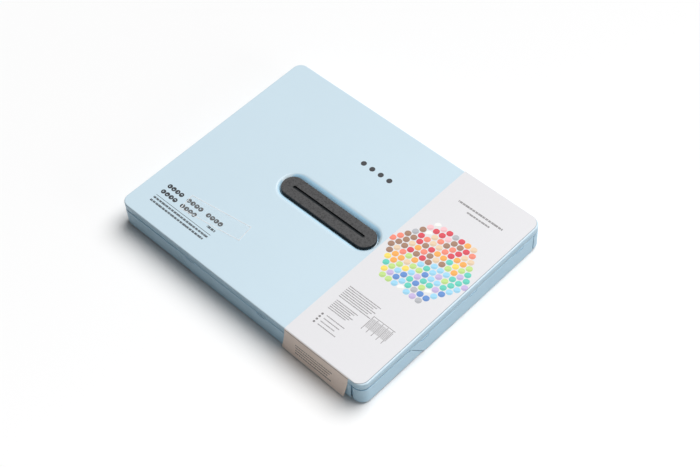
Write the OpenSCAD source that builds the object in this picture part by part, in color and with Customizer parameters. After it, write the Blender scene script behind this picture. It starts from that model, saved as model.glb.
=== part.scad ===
// Flat storage box for gouache paint: a tray of filled cups under a lift-off lid.
// Four latch flaps hang from the lid, one to a side, and drop into recesses between
// the tray's corner guards. A slotted grip in the middle of the lid pulls up to carry it.
// The origin is the middle of the flat underside. +X runs along the long side to the
// label's end, +Y from the front to the back, +Z up.

/* [Box] */
// Outside width of the closed box, left to right
box_w = 400; // [330:1:480]
// Outside depth of the closed box, front to back
box_d = 308; // [256:1:370]
// Height of the seam under the lid, above the table
seam_z = 27; // [22:0.5:33]
// Height of the lid's skirt, from the seam to the lid's top
skirt_h = 11; // [9:0.5:14]
// Radius of the upright corners
corner_r = 12; // [9:0.5:15]
// Rounding of the lid's top edge
top_edge_r = 2; // [1:0.1:3]

/* [Walls and clearances] */
// Thickness of the lid's top and skirt
lid_wall = 2; // [1.6:0.1:2.4]
// Thickness of the tray's walls and floor
tray_wall = 2; // [1.6:0.1:2.6]
// How far the tray's rim rises above the seam, inside the lid
rim_rise = 6; // [4:0.5:7]
// Width of the groove round the underside
groove_w = 3; // [1:0.5:6]
// Depth of the groove
groove_depth = 0.6; // [0.3:0.1:1]
// Distance of the groove from the tray's wall
groove_inset = 14; // [6:1:40]
// Gap between the lid's skirt and what is under it
seam_gap = 0.5; // [0.4:0.05:0.8]
// Running clearance between pieces that pass each other
pass_gap = 0.4; // [0.3:0.05:0.6]
// Width of the silicone seal in the lid
seal_w = 3; // [2:0.5:4]

/* [Corner guards] */
// Length of a guard on the front and back, from the corner to its slanted slit
guard_front_len = 97.5; // [70:0.5:120]
// Length of a guard on the two ends, from the corner to its slanted slit
guard_side_len = 77.5; // [60:0.5:95]
// How far a slit leans, from the seam down to the table
slit_run = 24; // [15:0.5:30]
// Width of a slit
slit_gap = 1; // [0.8:0.1:1.5]
// How far a guard reaches round its corner on to the next side
guard_wrap = 15; // [13:0.5:22]
// Gap between a latch flap's square end and the next guard
end_gap = 2; // [1:0.1:3]
// Height of the guards' lower edge above the table
guard_foot_z = 5.5; // [2:0.5:7]

/* [Latch flaps] */
// Thickness of a flap, and so the diameter of its hinge barrel
flap_t = 3; // [2.6:0.1:3.6]
// Height of a flap's lower edge above the table
flap_foot_z = 1; // [0.6:0.1:3]
// Radius of the steel hinge pin
pin_r = 0.75; // [0.5:0.05:0.9]
// Running clearance of the pin in the lid's knuckles, on the radius
pin_play = 0.05; // [0.02:0.01:0.1]
// Width of a lid knuckle
knuckle_w = 12; // [6:1:18]
// Distance of the outer knuckles from the ends of the barrel
knuckle_inset = 24; // [12:1:40]
// Number of knuckles to a flap
knuckle_count = 3; // [2:1:5]

/* [Grip] */
// Overall length of the grip
grip_len = 148; // [120:1:170]
// Width of the grip
grip_w = 29.5; // [24:0.5:36]
// How far the grip's top stands above the lid
grip_proud = 0.6; // [0.2:0.1:2]
// Length of the slot in the grip
slot_len = 117; // [90:1:130]
// Width of the slot
slot_w = 3.5; // [1.5:0.1:4]
// Depth of the slot
slot_depth = 2.4; // [1:0.1:3]
// Depth of the dish in the lid round the grip
dish_depth = 5.3; // [4:0.1:6]
// Width of the dish beyond the grip's long sides
dish_side = 8.75; // [6:0.25:14]
// Width of the dish beyond the grip's ends
dish_end = 4; // [2:0.5:8]
// Distance of each lifting post from the middle
post_x = 50; // [35:1:55]
// Radius of a lifting post
post_r = 4; // [3:0.1:5]
// Running clearance of a post in the lid, on the radius
post_play = 0.08; // [0.02:0.01:0.1]
// Clearance of a post in its socket in the grip, on the radius
socket_play = 0.02; // [0.01:0.01:0.05]
// How far a post goes up into the grip
post_socket = 2; // [1.5:0.1:2.4]
// Radius of the retaining washer under the lid
washer_r = 8; // [6:0.5:10]
// Thickness of the retaining washer
washer_t = 1.2; // [0.8:0.1:2]
// Radius of the retaining screw's shank
screw_r = 1.45; // [1:0.05:1.6]
// Radius of the retaining screw's head
screw_head_r = 3; // [2.5:0.1:3.5]
// Thickness of the retaining screw's head
screw_head_t = 1; // [0.8:0.1:2]
// Length of the retaining screw under its head
screw_len = 7; // [5:0.5:8]
// Room between a screw's head and the cups' film lids
screw_room = 1.8; // [0.5:0.1:3]

/* [Cups] */
// Cups from left to right
cup_cols = 14; // [12:1:16]
// Cups from front to back
cup_rows = 8; // [7:1:9]
// Height of the rack that spaces the cups, from the tray's floor
rack_h = 14.5; // [10:0.5:16]
// Thickness of the rack's walls
rack_wall = 1.2; // [0.8:0.1:1.6]
// Room round a cup in its cell
cup_play = 0.3; // [0.2:0.05:0.5]
// Gap under a cup in its cell
cup_lift = 0.5; // [0.3:0.1:1]
// Thickness of a cup's wall and floor
cup_wall = 0.8; // [0.6:0.1:1.2]
// Thickness of a cup's rim
cup_rim_t = 1; // [0.8:0.1:1.5]
// Gap between the rims of neighbouring cups
cup_rim_gap = 0.4; // [0.2:0.1:0.8]
// Radius of a cup's upright corners
cup_corner_r = 3; // [2:0.25:5]
// Depth of the paint in a cup
paint_h = 11; // [6:0.5:12]
// Thickness of a cup's film lid
film_t = 0.2; // [0.1:0.05:0.4]

/* [Card and tape] */
// Thickness of the card label
card_t = 0.5; // [0.3:0.05:0.8]
// Width of the card on the lid
card_w = 116; // [80:1:130]
// Distance of the card's edge from the right end of the lid
card_inset = 3.5; // [3:0.5:8]
// Radius of the card's two right corners
card_corner_r = 13; // [8:0.5:18]
// Width of the card's front flap
fold_w = 98.5; // [60:0.5:110]
// Distance of the front flap from the card's left edge
fold_inset = 0.5; // [0:0.5:6]
// How far the front flap stands off at its lower edge
fold_flare = 1.5; // [0:0.1:3]
// Length of the clear tape
tape_w = 90; // [60:1:110]
// Width of the clear tape
tape_d = 24.5; // [18:0.5:40]
// Thickness of the clear tape
tape_t = 0.15; // [0.1:0.05:0.3]
// Tilt of the clear tape, in degrees
tape_tilt = 8.5; // [-12:0.5:12]
// Middle of the tape from the lid's left end
tape_from_left = 106; // [80:1:140]
// Middle of the tape from the lid's front
tape_from_front = 58; // [40:1:90]

/* [Hidden] */
$fn = 48;
blue = [0.66, 0.78, 0.85];
pale_blue = [0.74, 0.84, 0.90];
black = [0.12, 0.12, 0.12];
card_white = [0.94, 0.93, 0.94];
steel = [0.7, 0.72, 0.75];
clear_white = [0.93, 0.94, 0.95];

cut = 1; // how far a cutter runs past the face that it opens

box_h = seam_z + skirt_h;
skirt_z = seam_z + seam_gap / 2; // lower edge of the skirt
guard_top_z = seam_z - seam_gap / 2;
guard_depth = flap_t + pass_gap; // outer face to the tray's wall
core_w = box_w - 2 * guard_depth;
core_d = box_d - 2 * guard_depth;
core_r = corner_r - guard_depth;
inner_w = core_w - 2 * tray_wall;
inner_d = core_d - 2 * tray_wall;
inner_r = core_r - tray_wall;
rim_z = seam_z + rim_rise;
under_lid_z = box_h - lid_wall;

axis_z = guard_top_z - flap_t / 2; // height of the latch hinges
axis_y = flap_t / 2; // distance of the hinges behind the outer face
barrel_r = flap_t / 2;
pin_left = 2; // distance of the pin from the barrel's left end
pin_right = 1; // distance of the pin from the barrel's right end

rack_w = inner_w - 2 * cup_play;
rack_d = inner_d - 2 * cup_play;
pitch_x = (rack_w - rack_wall) / cup_cols;
pitch_y = (rack_d - rack_wall) / cup_rows;
rack_top_z = tray_wall + rack_h;
cup_w = pitch_x - rack_wall - 2 * cup_play;
cup_d = pitch_y - rack_wall - 2 * cup_play;
cup_foot_z = tray_wall + cup_lift;
paint_play = 0.05; // room between the paint and the cup's wall
cup_top_z = rack_top_z + cup_rim_t;
film_z = cup_top_z + film_t;

dish_z = box_h - dish_depth;
dish_floor_play = 0.6; // flat floor beyond the grip's outline
dish_lip = 0.1; // height of the upright lips at the dish's two outlines
dish_under_z = dish_z - lid_wall;
grip_r = grip_w / 2;
grip_z = dish_z + pass_gap;
grip_top_z = box_h + grip_proud;
dish_r = grip_r + dish_side;
dish_len = grip_len + 2 * dish_end;
screw_head_z = film_z + screw_room;
washer_z = screw_head_z + screw_head_t;
post_z = washer_z + washer_t; // lower end of the posts
grip_travel = dish_under_z - post_z; // a washer's way up to the lid
thread_play = 0.05; // room round the screw in the post
washer_play = 0.15; // room round the screw in the washer
echo(grip_travel = grip_travel);

card_right = box_w / 2 - card_inset;
card_left = card_right - card_w;
fold_left = card_left + fold_inset;
hem_lift = 0.25;
fold_hem_z = skirt_z + hem_lift; // the fold on the lid stops here, above the hinge
fold_skip = 1.2; // keeps the flap's edge clear of the fold as the latch opens
fold_start_z = axis_z - barrel_r - card_t - fold_skip; // and goes on here, below the hinge
fold_foot_z = flap_foot_z + 0.5; // lower edge of the front flap

// Sides are numbered 0 front, 1 right end, 2 back, 3 left end. Each is drawn as seen
// from outside: x runs left to right along it, y goes into the box from its face.
function side_len(side) = side % 2 == 0 ? box_w : box_d;
function side_out(side) = (side % 2 == 0 ? box_d : box_w) / 2;
function guard_len(side) = side % 2 == 0 ? guard_front_len : guard_side_len;
function slit_x(side, z) = guard_len(side) + slit_run * (seam_z - z) / seam_z;
function flap_left(side) = guard_len(side) + slit_gap / 2;
function flap_right(side) = side_len(side) - guard_wrap - end_gap;
function knuckle_x(side, i) =
    let (first = flap_left(side) + knuckle_inset, last = flap_right(side) - knuckle_inset)
    first + (last - first) * i / (knuckle_count - 1);

module on_side(side) {
    rotate([0, 0, 90 * side])
        translate([-side_len(side) / 2, -side_out(side), 0])
            children();
}

// Outline in a side's own x and z, given a thickness from y0 in to y1
module upright(y0, y1) {
    translate([0, y1, 0])
        rotate([90, 0, 0])
            linear_extrude(y1 - y0)
                children();
}

// Outline in y and z, drawn along x from x0 to x1
module along_x(x0, x1) {
    translate([x0, 0, 0])
        rotate([90, 0, 90])
            linear_extrude(x1 - x0)
                children();
}

module rounded_plan(w, d, r) {
    square([w - 2 * r, d], center = true);
    square([w, d - 2 * r], center = true);
    for (sx = [-1, 1], sy = [-1, 1])
        translate([sx * (w / 2 - r), sy * (d / 2 - r)])
            circle(r);
}

module slab(w, d, r, z0, z1) {
    translate([0, 0, z0])
        linear_extrude(z1 - z0)
            rounded_plan(w, d, r);
}

module stadium(len, r, z0, z1) {
    translate([0, 0, z0])
        linear_extrude(z1 - z0)
            union() {
                square([len - 2 * r, 2 * r], center = true);
                for (sx = [-1, 1])
                    translate([sx * (len / 2 - r), 0])
                        circle(r);
            }
}

module at_posts() {
    for (sx = [-1, 1])
        translate([sx * post_x, 0, 0])
            children();
}

// ---- Tray ----

// The guard at the left end of a side, and its short return round the corner
module corner_guard(side) {
    return_side = (side + 3) % 4;
    return_len = side_len(return_side);
    intersection() {
        slab(box_w, box_d, corner_r, guard_foot_z, guard_top_z);
        union() {
            on_side(side)
                upright(-cut, corner_r)
                    polygon([
                        [-cut, guard_foot_z - cut],
                        [slit_x(side, guard_foot_z - cut) - slit_gap / 2, guard_foot_z - cut],
                        [slit_x(side, seam_z) - slit_gap / 2, seam_z],
                        [-cut, seam_z]
                    ]);
            on_side(return_side)
                translate([return_len - guard_wrap, -cut, guard_foot_z - cut])
                    cube([guard_wrap + cut, corner_r + cut, seam_z - guard_foot_z + cut]);
        }
    }
}

// Clears the tip of a guard from the path of the flap's barrel
module barrel_relief(side) {
    relief_r = barrel_r + pass_gap;
    on_side(side)
        translate([guard_len(side) - slit_gap / 2, -cut, axis_z - relief_r])
            cube([slit_x(side, axis_z - relief_r) - guard_len(side) + slit_gap,
                guard_depth + cut, seam_z]);
}

module underside_groove() {
    outer_w = core_w - 2 * groove_inset;
    outer_d = core_d - 2 * groove_inset;
    difference() {
        slab(outer_w, outer_d, core_r, -cut, groove_depth);
        slab(outer_w - 2 * groove_w, outer_d - 2 * groove_w, core_r - groove_w,
            -2 * cut, groove_depth + cut);
    }
}

module base_tray() {
    color(blue)
        difference() {
            union() {
                slab(core_w, core_d, core_r, 0, rim_z);
                for (side = [0 : 3])
                    difference() {
                        corner_guard(side);
                        barrel_relief(side);
                    }
            }
            slab(inner_w, inner_d, inner_r, tray_wall, rim_z + cut);
            underside_groove();
        }
}

// ---- Lid ----

// Three slabs carry the rounded top edge: its foot, the middle of its arc and its top
module lid_outside() {
    mid = top_edge_r * (1 - cos(45));
    hull() {
        slab(box_w, box_d, corner_r, skirt_z, box_h - top_edge_r);
        slab(box_w - 2 * mid, box_d - 2 * mid, corner_r - mid, skirt_z, box_h - mid);
        slab(box_w - 2 * top_edge_r, box_d - 2 * top_edge_r, corner_r - top_edge_r,
            skirt_z, box_h);
    }
}

// The dish drops from the lid's top to a flat floor under the grip
module dish(wall, z_floor, z_top) {
    hull() {
        stadium(grip_len + 2 * (dish_floor_play + wall), grip_r + dish_floor_play + wall,
            z_floor, z_floor + dish_lip);
        stadium(dish_len + 2 * wall, dish_r + wall, z_top, z_top + dish_lip);
    }
}

module knuckle(side, x) {
    on_side(side)
        translate([x - knuckle_w / 2, 0, axis_z]) {
            cube([knuckle_w, flap_t, skirt_z + cut - axis_z]);
            translate([0, axis_y, 0])
                rotate([0, 90, 0])
                    cylinder(r = barrel_r, h = knuckle_w);
        }
}

module knuckle_bore(side, x) {
    on_side(side)
        translate([x - knuckle_w / 2 - cut, axis_y, axis_z])
            rotate([0, 90, 0])
                cylinder(r = pin_r + pin_play, h = knuckle_w + 2 * cut);
}

module seal_rib() {
    rib_t = 1;
    rib_h = 2;
    rib_w = seal_inner(inner_w);
    rib_d = seal_inner(inner_d);
    difference() {
        slab(rib_w, rib_d, inner_r, under_lid_z - rib_h, under_lid_z + cut);
        slab(rib_w - 2 * rib_t, rib_d - 2 * rib_t, inner_r - rib_t,
            under_lid_z - rib_h - cut, under_lid_z + 2 * cut);
    }
}

// The seal is centred on the tray's rim
function seal_inner(inside) = inside + tray_wall - seal_w;

module lid_shell() {
    color(pale_blue)
        difference() {
            union() {
                difference() {
                    lid_outside();
                    slab(box_w - 2 * lid_wall, box_d - 2 * lid_wall, corner_r - lid_wall,
                        skirt_z - cut, under_lid_z);
                }
                dish(lid_wall, dish_under_z, under_lid_z);
                seal_rib();
                for (side = [0 : 3], i = [0 : knuckle_count - 1])
                    knuckle(side, knuckle_x(side, i));
            }
            dish(0, dish_z, box_h);
            at_posts()
                translate([0, 0, dish_under_z - cut])
                    cylinder(r = post_r + post_play, h = dish_depth);
            for (side = [0 : 3], i = [0 : knuckle_count - 1])
                knuckle_bore(side, knuckle_x(side, i));
        }
}

module lid_seal() {
    seal_gap = 0.3;
    color(clear_white)
        difference() {
            slab(seal_inner(inner_w) + 2 * seal_w, seal_inner(inner_d) + 2 * seal_w,
                inner_r + seal_w, rim_z + seal_gap, under_lid_z);
            slab(seal_inner(inner_w), seal_inner(inner_d), inner_r,
                rim_z + seal_gap - cut, under_lid_z + cut);
        }
}

// ---- Latch flaps ----

module latch(side) {
    left = flap_left(side);
    right = flap_right(side);
    notch_w = knuckle_w + 2 * pass_gap;
    notch_r = barrel_r + pass_gap;
    color(blue)
        on_side(side)
            difference() {
                union() {
                    upright(0, flap_t)
                        polygon([
                            [slit_x(side, axis_z) + slit_gap / 2, axis_z],
                            [right, axis_z],
                            [right, flap_foot_z],
                            [slit_x(side, flap_foot_z) + slit_gap / 2, flap_foot_z]
                        ]);
                    translate([left, axis_y, axis_z])
                        rotate([0, 90, 0])
                            cylinder(r = barrel_r, h = right - left);
                }
                for (i = [0 : knuckle_count - 1])
                    translate([knuckle_x(side, i) - notch_w / 2, -cut, axis_z - notch_r])
                        cube([notch_w, flap_t + 2 * cut, 2 * notch_r]);
                translate([left + pin_left, axis_y, axis_z])
                    rotate([0, 90, 0])
                        cylinder(r = pin_r, h = right - left);
            }
}

module hinge_pin(side) {
    left = flap_left(side) + pin_left;
    color(steel)
        on_side(side)
            translate([left, axis_y, axis_z])
                rotate([0, 90, 0])
                    cylinder(r = pin_r, h = flap_right(side) - pin_right - left);
}

// ---- Grip ----

module grip() {
    edge = 0.6;
    color(black)
        difference() {
            union() {
                stadium(grip_len, grip_r, grip_z, grip_top_z - edge);
                stadium(grip_len - 2 * edge, grip_r - edge, grip_z, grip_top_z);
            }
            stadium(slot_len, slot_w / 2, grip_top_z - slot_depth, grip_top_z + cut);
            at_posts()
                translate([0, 0, grip_z - cut])
                    cylinder(r = post_r + socket_play, h = post_socket + cut);
        }
}

module grip_posts() {
    color(steel)
        at_posts()
            difference() {
                translate([0, 0, post_z])
                    cylinder(r = post_r, h = grip_z + post_socket - post_z);
                translate([0, 0, post_z - cut])
                    cylinder(r = screw_r + thread_play, h = screw_len - washer_t + 2 * cut);
            }
}

module grip_washers() {
    color(steel)
        at_posts()
            difference() {
                translate([0, 0, washer_z])
                    cylinder(r = washer_r, h = washer_t);
                translate([0, 0, washer_z - cut])
                    cylinder(r = screw_r + washer_play, h = washer_t + 2 * cut);
            }
}

module grip_screws() {
    color(steel)
        at_posts() {
            translate([0, 0, screw_head_z])
                cylinder(r = screw_head_r, h = screw_head_t);
            translate([0, 0, screw_head_z + screw_head_t / 2])
                cylinder(r = screw_r, h = screw_len + screw_head_t / 2);
        }
}

// ---- Cups ----

function cell_x(col) = (col - (cup_cols - 1) / 2) * pitch_x;
function cell_y(row) = ((cup_rows + 1) / 2 - row) * pitch_y;

module cup_rack() {
    color(clear_white)
        translate([0, 0, tray_wall])
            linear_extrude(rack_h)
                difference() {
                    rounded_plan(rack_w, rack_d, inner_r - cup_play);
                    for (row = [1 : cup_rows], col = [0 : cup_cols - 1])
                        translate([cell_x(col), cell_y(row)])
                            square([pitch_x - rack_wall, pitch_y - rack_wall], center = true);
                }
}

module cup() {
    slab(cup_w, cup_d, cup_corner_r, cup_foot_z, rack_top_z + cup_rim_t / 2);
    slab(pitch_x - cup_rim_gap, pitch_y - cup_rim_gap, cup_corner_r, rack_top_z, cup_top_z);
}

module cup_hollow(z0, z1, play) {
    inset = 2 * (cup_wall + play);
    slab(cup_w - inset, cup_d - inset, cup_corner_r - cup_wall - play, z0, z1);
}

module along_row(row) {
    for (col = [0 : cup_cols - 1])
        translate([cell_x(col), cell_y(row), 0])
            children();
}

module cup_row(row) {
    color(clear_white)
        along_row(row)
            difference() {
                cup();
                cup_hollow(cup_foot_z + cup_wall, cup_top_z + cut, 0);
            }
}

module paint_row(row) {
    for (col = [0 : cup_cols - 1])
        color([0.5 + 0.5 * cos(25 * col), 0.5 + 0.4 * sin(40 * row), 0.5 + 0.5 * sin(25 * col)])
            translate([cell_x(col), cell_y(row), 0])
                cup_hollow(cup_foot_z + cup_wall, cup_foot_z + cup_wall + paint_h, paint_play);
}

module film_row(row) {
    color(clear_white)
        along_row(row)
            slab(pitch_x - 2 * cup_rim_gap, pitch_y - 2 * cup_rim_gap, cup_corner_r,
                cup_top_z, film_z);
}

// ---- Card label and tape ----

// The card lies on the lid and folds down over the skirt as far as the hinge
module card_top() {
    color(card_white) {
        translate([0, 0, box_h])
            linear_extrude(card_t)
                union() {
                    translate([card_left, -box_d / 2 - card_t])
                        square([card_w - card_corner_r, box_d + card_t]);
                    translate([card_left, -box_d / 2 + card_corner_r])
                        square([card_w, box_d - 2 * card_corner_r]);
                    for (sy = [-1, 1])
                        translate([card_right - card_corner_r, sy * (box_d / 2 - card_corner_r)])
                            circle(card_corner_r);
                }
        translate([fold_left, -box_d / 2 - card_t, fold_hem_z])
            cube([fold_w, card_t, box_h + card_t / 2 - fold_hem_z]);
    }
}

// The rest of the front flap hangs over the latch and stands off at its lower edge
module card_front() {
    face_y = -box_d / 2;
    color(card_white)
        along_x(fold_left, fold_left + fold_w)
            polygon([
                [face_y, fold_start_z],
                [face_y - card_t, fold_start_z],
                [face_y - card_t - fold_flare, fold_foot_z],
                [face_y - fold_flare, fold_foot_z]
            ]);
}

module clear_tape() {
    color(clear_white)
        translate([tape_from_left - box_w / 2, tape_from_front - box_d / 2, box_h])
            rotate([0, 0, tape_tilt])
                translate([-tape_w / 2, -tape_d / 2, 0])
                    cube([tape_w, tape_d, tape_t]);
}

base_tray();
lid_shell();
lid_seal();
cup_rack();
latch(0);  // latch_front
latch(1);  // latch_right
latch(2);  // latch_back
latch(3);  // latch_left
hinge_pin(0);  // hinge_pin_front
hinge_pin(1);  // hinge_pin_right
hinge_pin(2);  // hinge_pin_back
hinge_pin(3);  // hinge_pin_left
grip();
grip_posts();
grip_washers();
grip_screws();
card_top();
card_front();
clear_tape();
for (row = [1 : cup_rows]) {
    cup_row(row);
    paint_row(row);
    film_row(row);
}
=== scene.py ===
"""A flat moulded box of gouache paints, closed, with a card label over its right end.

It is put together here as on the bench: the tray and its corner guards, the rack and the
filled cups, the lid with its seal, the four latch flaps and their pins, the lifting grip,
and last the card and the strip of tape. Sizes are in millimetres from the middle of the
underside, +X to the label's end, +Y to the back, +Z up, and turn into metres in piece().
"""

import math

import bmesh
import bpy
import numpy as np
from mathutils import Matrix, Vector
from mathutils.geometry import delaunay_2d_cdt


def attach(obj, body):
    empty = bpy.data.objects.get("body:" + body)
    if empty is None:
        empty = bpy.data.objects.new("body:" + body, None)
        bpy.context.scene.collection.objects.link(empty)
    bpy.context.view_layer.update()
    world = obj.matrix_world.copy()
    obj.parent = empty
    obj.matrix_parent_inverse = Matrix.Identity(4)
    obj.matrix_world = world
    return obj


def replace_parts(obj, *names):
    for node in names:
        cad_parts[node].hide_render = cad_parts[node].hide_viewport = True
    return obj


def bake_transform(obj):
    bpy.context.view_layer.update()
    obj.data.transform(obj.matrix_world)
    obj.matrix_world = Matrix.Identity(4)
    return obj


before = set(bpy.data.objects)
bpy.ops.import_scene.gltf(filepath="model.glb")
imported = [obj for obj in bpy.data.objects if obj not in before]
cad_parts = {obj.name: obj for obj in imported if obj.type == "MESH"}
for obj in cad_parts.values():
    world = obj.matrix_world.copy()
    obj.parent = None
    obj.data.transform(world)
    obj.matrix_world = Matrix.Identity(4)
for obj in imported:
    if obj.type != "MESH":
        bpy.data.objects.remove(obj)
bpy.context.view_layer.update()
MM = 0.001

# Camera. A long lens looks down over the corner between the front and the label's end,
# turned a few degrees on its own axis.
camera_place = (854.5, -766.2, 1443.3)
camera_azimuth = math.radians(46.94)
camera_elevation = math.radians(51.65)
camera_roll = math.radians(-4.19)
camera_lens = 78.73
camera = bpy.data.objects.new("camera", bpy.data.cameras.new("camera"))
camera.data.lens = camera_lens
camera.matrix_world = (
    Matrix.Translation(Vector(camera_place) * MM)
    @ Matrix.Rotation(camera_azimuth, 4, "Z")
    @ Matrix.Rotation(math.radians(90) - camera_elevation, 4, "X")
    @ Matrix.Rotation(camera_roll, 4, "Z")
)
bpy.context.scene.collection.objects.link(camera)
bpy.context.scene.camera = camera

# Tray. An open polypropylene pan moulded in one shot, with a rim that goes up inside the
# lid and a shallow groove round its underside. The wall stands behind the latch flaps.
box_w, box_d, box_h = 400, 308, 38
seam_z = 27
corner_r = 12
flap_t, flap_play = 3, 0.4
guard_depth = flap_t + flap_play
tray_r = corner_r - guard_depth
tray_wall = 2
rim_z = seam_z + 6
tray_foot_r, rim_r, fillet_r = 1, 0.8, 1.5
fillet_end = tray_wall + fillet_r + 0.5
groove_inset, groove_w, groove_depth = 14, 3, 0.6
# A row of points this far from an edge keeps the flat beside it flat.
edge_loop = 0.4
ice_blue = (0.51, 0.745, 0.90, 1)


def outline(half_w, half_d, r, z, counts=(10, 24, 40)):
    """Closed level outline of a rectangle with round corners, counter-clockwise from the front
    of its right side: corner centres plus r times (cos, sin) of an angle that turns only at the
    corners. Where r is half the depth it is a pill, whose angle turns along the short sides too.
    counts are the steps on a corner, a long side and a short side, so any two outlines match."""
    corner, long, short = counts
    a = 90 * short / (short + 2 * corner) if r >= half_d else 0
    spans = [(-a, a, 1, 1, -1, 1, short), (a, 90, 1, 1, 1, 1, corner)]
    spans += [(90, 90, 1, -1, 1, 1, long), (90, 180 - a, -1, -1, 1, 1, corner)]
    spans += [(b + 180, c + 180, -d, -e, -f, -g, n) for b, c, d, e, f, g, n in spans]
    steps = [np.linspace(s[:-1:2], s[1:-1:2], s[-1], endpoint=False) for s in spans]
    angle, across, along = np.concatenate(steps).T
    angle = np.radians(angle)
    x = across * (half_w - r) + r * np.cos(angle)
    y = along * (half_d - r) + r * np.sin(angle)
    return np.stack([x, y, np.full(len(x), float(z))], 1)


def offset_outlines(half_w, half_d, r, turns, counts=(10, 24, 40), least_r=0.2):
    """Outlines of one rounded rectangle, each moved in by an inset and up to a height."""
    return [outline(half_w - i, half_d - i, max(r - i, least_r), z, counts) for i, z in turns]


def arc(inset, z, radius, start, end, steps=5):
    """(inset, height) pairs on a circle round (inset, z), from one angle to another in degrees,
    0 outwards and 90 up."""
    angle = np.radians(np.linspace(start, end, steps + 1))
    return [(inset - radius * math.cos(a), z + radius * math.sin(a)) for a in angle]


def skin(rings, low=True, high=True):
    """Rows of matching points joined by quads round a closed loop, with a flat face over the
    first and the last row where low and high say so."""
    rings = np.array(rings)
    count = rings.shape[1]
    a = np.arange(len(rings) * count).reshape(-1, count)
    b = np.roll(a, -1, axis=1)
    quads = np.stack([a[:-1], b[:-1], b[1:], a[1:]], -1).reshape(-1, 4)
    ends = [a[:1, ::-1]] * low + [a[-1:]] * high
    return rings.reshape(-1, 3), [quads, *ends]


def piece(name, parts, body, finish, replaces=(), bevel=0, crease=40, values=None):
    """One mesh of parts, each (points, groups of faces). Doubled points are merged and faces
    turned outwards, edges over crease degrees stay sharp, and bevel rounds a moulding's edges.
    values is (attribute name, its kind, one row a point)."""
    points = np.concatenate([p for p, _ in parts]) * MM
    starts = np.cumsum([0] + [len(p) for p, _ in parts])
    faces = [f for (_, groups), s in zip(parts, starts) for g in groups for f in (g + s).tolist()]
    mesh = bpy.data.meshes.new(name)
    mesh.from_pydata(points.tolist(), [], faces)
    if values is not None:
        layer = mesh.attributes.new(values[0], values[1], "POINT")
        layer.data.foreach_set("color" if "COLOR" in values[1] else "vector", values[2].ravel())
    work = bmesh.new()
    work.from_mesh(mesh)
    bmesh.ops.remove_doubles(work, verts=work.verts, dist=1e-6)
    bmesh.ops.recalc_face_normals(work, faces=work.faces)
    work.to_mesh(mesh)
    work.free()
    mesh.shade_smooth()
    mesh.materials.append(finish)
    made = bpy.data.objects.new(name, mesh)
    bpy.context.scene.collection.objects.link(made)
    if bevel:
        edge = made.modifiers.new("edges", "BEVEL")
        edge.width = bevel * MM
        edge.segments = 3
        edge.limit_method = "ANGLE"
        edge.angle_limit = math.radians(crease)
        edge.harden_normals = True
    else:
        mesh.set_sharp_from_angle(angle=math.radians(crease))
    if body:
        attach(made, body)
    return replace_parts(made, *replaces)


class Wire:
    """A value inside a material. Arithmetic on it adds Math nodes, and node() any other node."""

    def __init__(self, tree, socket):
        self.tree, self.socket = tree, socket

    def node(self, kind, settings, values, out=0):
        """Adds a node, sets its settings and then its sockets, and gives one of its outputs."""
        made = self.tree.nodes.new("ShaderNode" + kind)
        for key, value in settings.items():
            setattr(made, key, value)
        for key, value in values.items():
            if isinstance(value, Wire):
                self.tree.links.new(value.socket, made.inputs[key])
            else:
                made.inputs[key].default_value = value
        return Wire(self.tree, made.outputs[out])

    def math(self, operation, *values):
        return self.node("Math", {"operation": operation}, dict(enumerate(values)))

    def band(self, low, high, soft):
        """1 between low and high, falling to 0 over the width soft outside them."""
        up = self.node("Math", {"use_clamp": True, "operation": "MULTIPLY"},
                       {0: self - (low - soft), 1: 1 / soft})
        down = self.node("Math", {"use_clamp": True, "operation": "MULTIPLY"},
                         {0: (high + soft) - self, 1: 1 / soft})
        return up * down

    def mix(self, under, over):
        """The colour under where this mask is 0, and over where it is 1."""
        return self.node("Mix", {"data_type": "RGBA"}, {0: self, 6: under, 7: over}, 2)

    def ramp(self, colours):
        """The one of a row of colours that lies this share of the way along it."""
        made = self.node("ValToRGB", {}, {0: self})
        stripes = made.socket.node.color_ramp
        stripes.interpolation = "CONSTANT"
        stripes.elements.remove(stripes.elements[1])
        stripes.elements[0].color = colours[0]
        for i, colour in enumerate(colours[1:], 1):
            stripes.elements.new(i / len(colours)).color = colour
        return made


for sign, operation in (("add", "ADD"), ("sub", "SUBTRACT"), ("mul", "MULTIPLY"),
                        ("truediv", "DIVIDE"), ("gt", "GREATER_THAN"), ("lt", "LESS_THAN"),
                        ("mod", "FLOORED_MODULO")):
    setattr(Wire, f"__{sign}__", lambda a, b, o=operation: a.math(o, a, b))
    setattr(Wire, f"__r{sign}__", lambda a, b, o=operation: a.math(o, b, a))


class Finish(Wire):
    """A material being made. Constants go straight on to its shader's own sockets."""

    def __init__(self, name, **constants):
        self.material = bpy.data.materials.new(name)
        self.material.use_nodes = True
        super().__init__(self.material.node_tree, None)
        self.shader = self.tree.nodes["Principled BSDF"]
        for key, value in constants.items():
            self.shader.inputs[key.replace("_", " ")].default_value = value
        self.place = self.node("TexCoord", {}, {}, "Object")

    def wire(self, **wires):
        """Links values to the shader's sockets and gives the finished material."""
        for key, value in wires.items():
            self.tree.links.new(value.socket, self.shader.inputs[key.replace("_", " ")])
        return self.material

    def noise(self, size, detail=2, **more):
        """Noise of a given feature size in millimetres."""
        values = {"Vector": self.place, "Scale": 1 / (size * MM), "Detail": detail}
        return self.node("TexNoise", {}, {**values, **more})

    def grain(self, size, depth, detail=2):
        """Bump of a given feature size and depth, both in millimetres."""
        return self.node("Bump", {}, {"Height": self.noise(size, detail), "Distance": depth * MM})


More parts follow.
